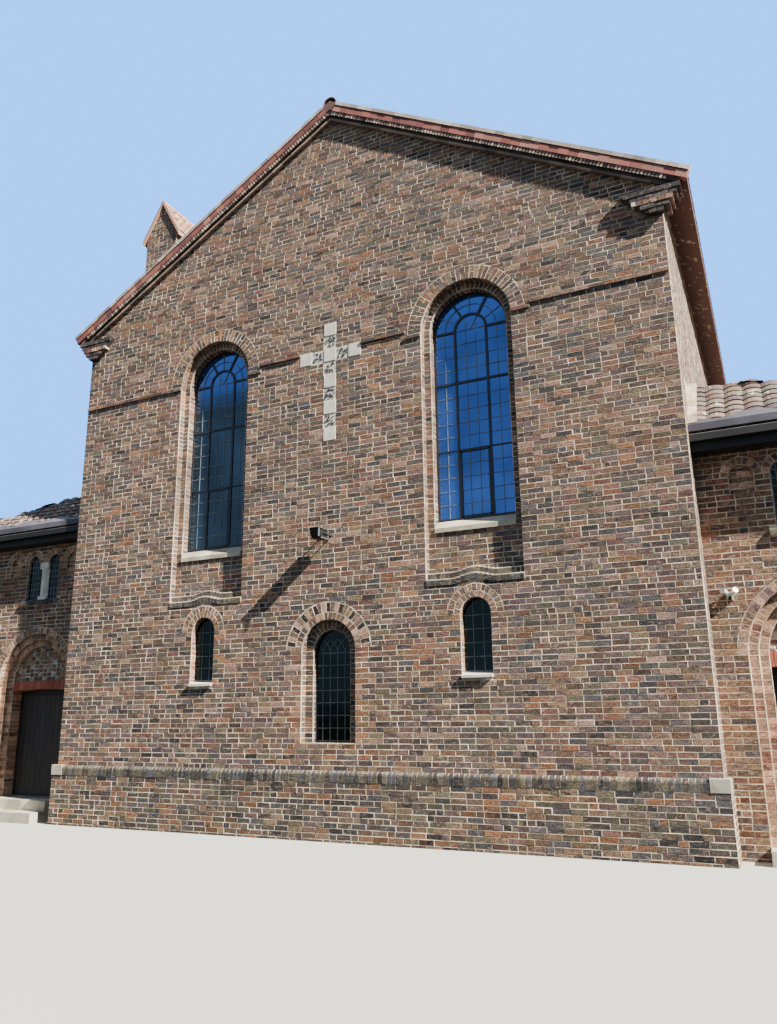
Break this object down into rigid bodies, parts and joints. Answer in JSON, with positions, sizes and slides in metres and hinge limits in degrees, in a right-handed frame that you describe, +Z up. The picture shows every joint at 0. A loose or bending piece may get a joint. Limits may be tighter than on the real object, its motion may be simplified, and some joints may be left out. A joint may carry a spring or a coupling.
{
  "type": "brick church building",
  "caption": "Gabled brick church nave with tall round-headed windows, flint cross, side wings with arched doorways and a saddle-capped stack.",
  "frame": {"origin": "middle of the front wall's foot, in the plane of its face, at ground level", "axes": "+X to the right seen from the front, +Y back along the nave, +Z up"},
  "size_m": [19.9, 16.47, 12.5303],
  "materials": {
    "brickwork": "mixed red, brown and blue-grey bricks with buff mortar",
    "red_tile": "red clay tiles and bricks",
    "roof_tile": "weathered plain clay tiles",
    "pale_stone": "pale dressed stone",
    "flint": "dressed pale stone and split flint squares",
    "concrete": "plain floor",
    "steel_window": "dark painted steel bars around leaded panes",
    "window_glass": "leaded glass",
    "dark_timber": "dark stained boards",
    "dark_metal": "dark paint"
  },
  "bodies": {
    "building": {"front_wall": "brickwork", "rear_wall": "brickwork", "nave_left_wall": "brickwork", "nave_right_wall": "brickwork", "nave_floor": "concrete", "nave_roof_left": "roof_tile", "nave_roof_right": "roof_tile", "roof_ridge": "roof_tile", "gable_verge": "red_tile", "plinth_ledge": "brickwork", "flint_cross": "flint", "floodlight": "dark_metal", "rear_window_glass": "window_glass", "centre_window": "window_glass", "chimney_stack": "brickwork", "chimney_cap": "roof_tile", "tall_window_left": "steel_window", "tall_window_sill_left": "pale_stone", "small_window_left": "window_glass", "small_window_sill_left": "pale_stone", "tall_window_right": "steel_window", "tall_window_sill_right": "pale_stone", "small_window_right": "window_glass", "small_window_sill_right": "pale_stone", "left_wing_inner_pier": "brickwork", "left_wing_outer_pier": "brickwork", "left_wing_upper_wall": "brickwork", "left_door_lintel": "red_tile", "left_door_frame": "dark_timber", "left_door_steps": "pale_stone", "left_wing_window_column": "pale_stone", "left_wing_window_glass": "window_glass", "left_wing_side_wall": "brickwork", "left_wing_side_glass": "window_glass", "left_wing_rear_wall": "brickwork", "left_wing_floor": "concrete", "left_wing_roof": "roof_tile", "left_wing_gutter": "dark_metal", "right_wing_inner_pier": "brickwork", "right_wing_outer_pier": "brickwork", "right_wing_upper_wall": "brickwork", "right_door_lintel": "red_tile", "right_door_frame": "dark_timber", "right_door_steps": "pale_stone", "right_wing_window_column": "pale_stone", "right_wing_window_glass": "window_glass", "right_wing_side_wall": "brickwork", "right_wing_side_glass": "window_glass", "right_wing_rear_wall": "brickwork", "right_wing_floor": "concrete", "right_wing_roof": "roof_tile", "right_wing_gutter": "dark_metal"},
    "left_door": {"left_door": "dark_timber"},
    "right_door": {"right_door": "dark_timber"}
  },
  "joints": [
    {"name": "left_door_hinge", "type": "hinge", "parent": "building", "child": "left_door", "pos_m": [-7.1387, 0.825, 0.34], "axis": [0, 0, 1], "range_deg": [0, 90]},
    {"name": "right_door_hinge", "type": "hinge", "parent": "building", "child": "right_door", "pos_m": [7.1387, 0.825, 0.34], "axis": [0, 0, -1], "range_deg": [0, 90]}
  ]
}
